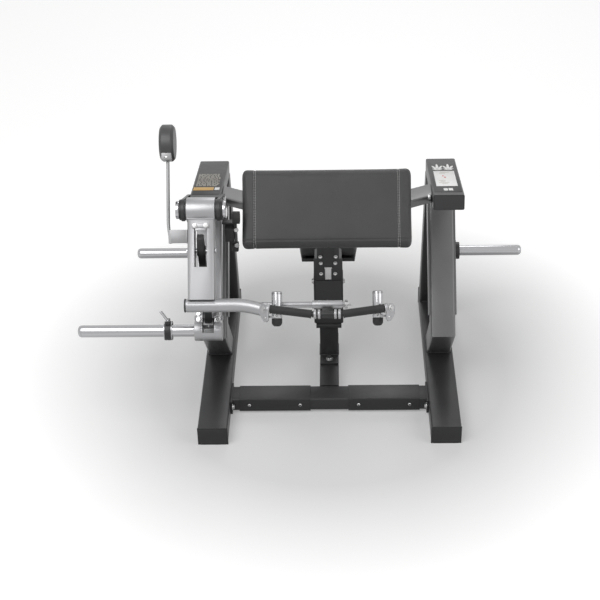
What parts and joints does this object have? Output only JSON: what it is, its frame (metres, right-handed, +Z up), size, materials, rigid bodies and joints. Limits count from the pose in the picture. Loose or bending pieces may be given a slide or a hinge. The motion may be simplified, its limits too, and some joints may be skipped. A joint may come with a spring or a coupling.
{
  "type": "plate-loaded preacher curl machine",
  "caption": "Plate-loaded preacher curl machine with a slanted arm pad, a counterweighted lever, swivelling grips and a height-adjustable seat.",
  "frame": {"origin": "centre of the machine's box, at floor level", "axes": "+X to the right seen from the grips' side, +Y from the grips towards the seat, +Z up"},
  "size_m": [1.8196, 1.1452, 1.27],
  "materials": {
    "graphite_paint": "satin dark graphite powder coat",
    "silver_paint": "satin silver metallic powder coat",
    "polished_steel": "polished, plated steel",
    "black_plastic": "fine textured black",
    "black_rubber": "matt moulded rubber",
    "black_vinyl": "satin black vinyl upholstery",
    "cast_weight": "smooth dark coating",
    "placard_film": "satin film"
  },
  "bodies": {
    "frame": {"left_base_rail": "graphite_paint", "left_front_cap": "black_plastic", "left_rear_cap": "black_plastic", "left_front_leg": "graphite_paint", "left_rear_leg": "graphite_paint", "left_top_beam": "graphite_paint", "left_placard": "placard_film", "left_storage_flange": "black_plastic", "left_storage_horn": "polished_steel", "left_cross_cover": "black_plastic", "left_cross_arm": "graphite_paint", "right_base_rail": "graphite_paint", "right_front_cap": "black_plastic", "right_rear_cap": "black_plastic", "right_front_leg": "graphite_paint", "right_rear_leg": "graphite_paint", "right_top_beam": "graphite_paint", "right_placard": "placard_film", "right_storage_flange": "black_plastic", "right_storage_horn": "polished_steel", "right_cross_cover": "black_plastic", "right_cross_arm": "graphite_paint", "front_cross_member": "graphite_paint", "centre_base_tube": "graphite_paint", "lower_column": "graphite_paint", "seat_sleeve": "graphite_paint", "arm_pad": "black_vinyl", "pad_backboard": "black_plastic", "outer_fork_cheek": "graphite_paint", "inner_fork_cheek": "graphite_paint", "elbow_pivot_shaft": "polished_steel", "weight_arm_hanger": "graphite_paint", "weight_arm_pin": "polished_steel"},
    "lever": {"lever_arm": "silver_paint", "lever_bar": "silver_paint", "bar_end_cap": "black_plastic", "bar_end_nut": "polished_steel", "rod_pin": "polished_steel", "slot_clamp": "silver_paint", "counterweight_bar": "silver_paint", "counterweight_disc": "cast_weight"},
    "grip_yoke_body": {"grip_yoke": "silver_paint", "left_grip": "black_rubber", "right_grip": "black_rubber", "left_handle_post": "polished_steel", "right_handle_post": "polished_steel", "left_post_cap": "black_rubber", "right_post_cap": "black_rubber"},
    "link": {"link_rod": "graphite_paint"},
    "weight_arm_body": {"weight_arm": "silver_paint", "weight_horn": "polished_steel"},
    "collar": {"weight_collar": "black_plastic"},
    "collar_lever_body": {"collar_lever": "polished_steel"},
    "seat": {"seat_post": "graphite_paint", "seat_board": "black_plastic", "seat_pad": "black_vinyl"},
    "seat_release": {"seat_release_tab": "polished_steel"}
  },
  "joints": [
    {"name": "lever_swing", "type": "hinge", "parent": "frame", "child": "lever", "pos_m": [-0.3958, -0.271, 0.995], "axis": [-1, 0, 0], "range_deg": [0, 100]},
    {"name": "grip_turn", "type": "hinge", "parent": "lever", "child": "grip_yoke_body", "pos_m": [0.0712, -0.4732, 0.70079], "axis": [-1, 0, 0], "range_deg": [-60, 60]},
    {"name": "rod_turn", "type": "hinge", "parent": "lever", "child": "link", "pos_m": [-0.3958, -0.35766, 0.86891], "axis": [1, 0, 0], "range_deg": [0, 88.61]},
    {"name": "weight_arm_swing", "type": "hinge", "parent": "frame", "child": "weight_arm_body", "pos_m": [-0.3958, 0.037, 0.808], "axis": [-1, 0, 0], "range_deg": [0, 33.59]},
    {"name": "collar_slide", "type": "slide", "parent": "weight_arm_body", "child": "collar", "axis": [-1, 0, 0], "range_m": [-0.08, 0.32]},
    {"name": "collar_lever_turn", "type": "hinge", "parent": "collar", "child": "collar_lever_body", "pos_m": [-0.5538, -0.30311, 0.51438], "axis": [0, 1, 0], "range_deg": [0, 75]},
    {"name": "seat_height", "type": "slide", "parent": "frame", "child": "seat", "axis": [0, 0, 1], "range_m": [0, 0.1]},
    {"name": "seat_release_pull", "type": "hinge", "parent": "seat", "child": "seat_release", "pos_m": [0.0712, 0.0507, 0.5263], "axis": [-1, 0, 0], "range_deg": [0, 20]}
  ],
  "couplings": [
    {"joint": "weight_arm_swing", "follows": "lever_swing", "ratio": 0.33587},
    {"joint": "rod_turn", "follows": "lever_swing", "ratio": 0.88608}
  ]
}
